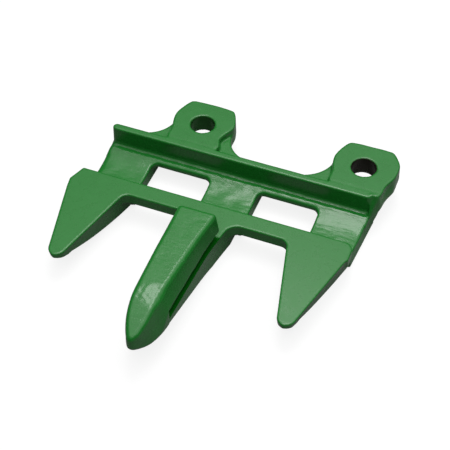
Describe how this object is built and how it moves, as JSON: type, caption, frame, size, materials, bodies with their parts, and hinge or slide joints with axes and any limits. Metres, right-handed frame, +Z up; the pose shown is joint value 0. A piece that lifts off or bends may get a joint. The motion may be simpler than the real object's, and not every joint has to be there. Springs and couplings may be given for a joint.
{
  "type": "mower knife guard",
  "caption": "Forged mower knife guard: hooded centre finger between stub points, ledger bar, upright rail behind it and bolt ears at the back.",
  "frame": {"origin": "midpoint of the two bolt holes on the underside of the ears", "axes": "+X to the right seen from the front, +Y from the points to the ears, +Z up along the bolt holes"},
  "size_m": [0.1348, 0.1387, 0.0275],
  "materials": {
    "green_enamel": "gloss enamel over a forged skin"
  },
  "bodies": {
    "root": {"knife_guard": "green_enamel"}
  },
  "joints": []
}
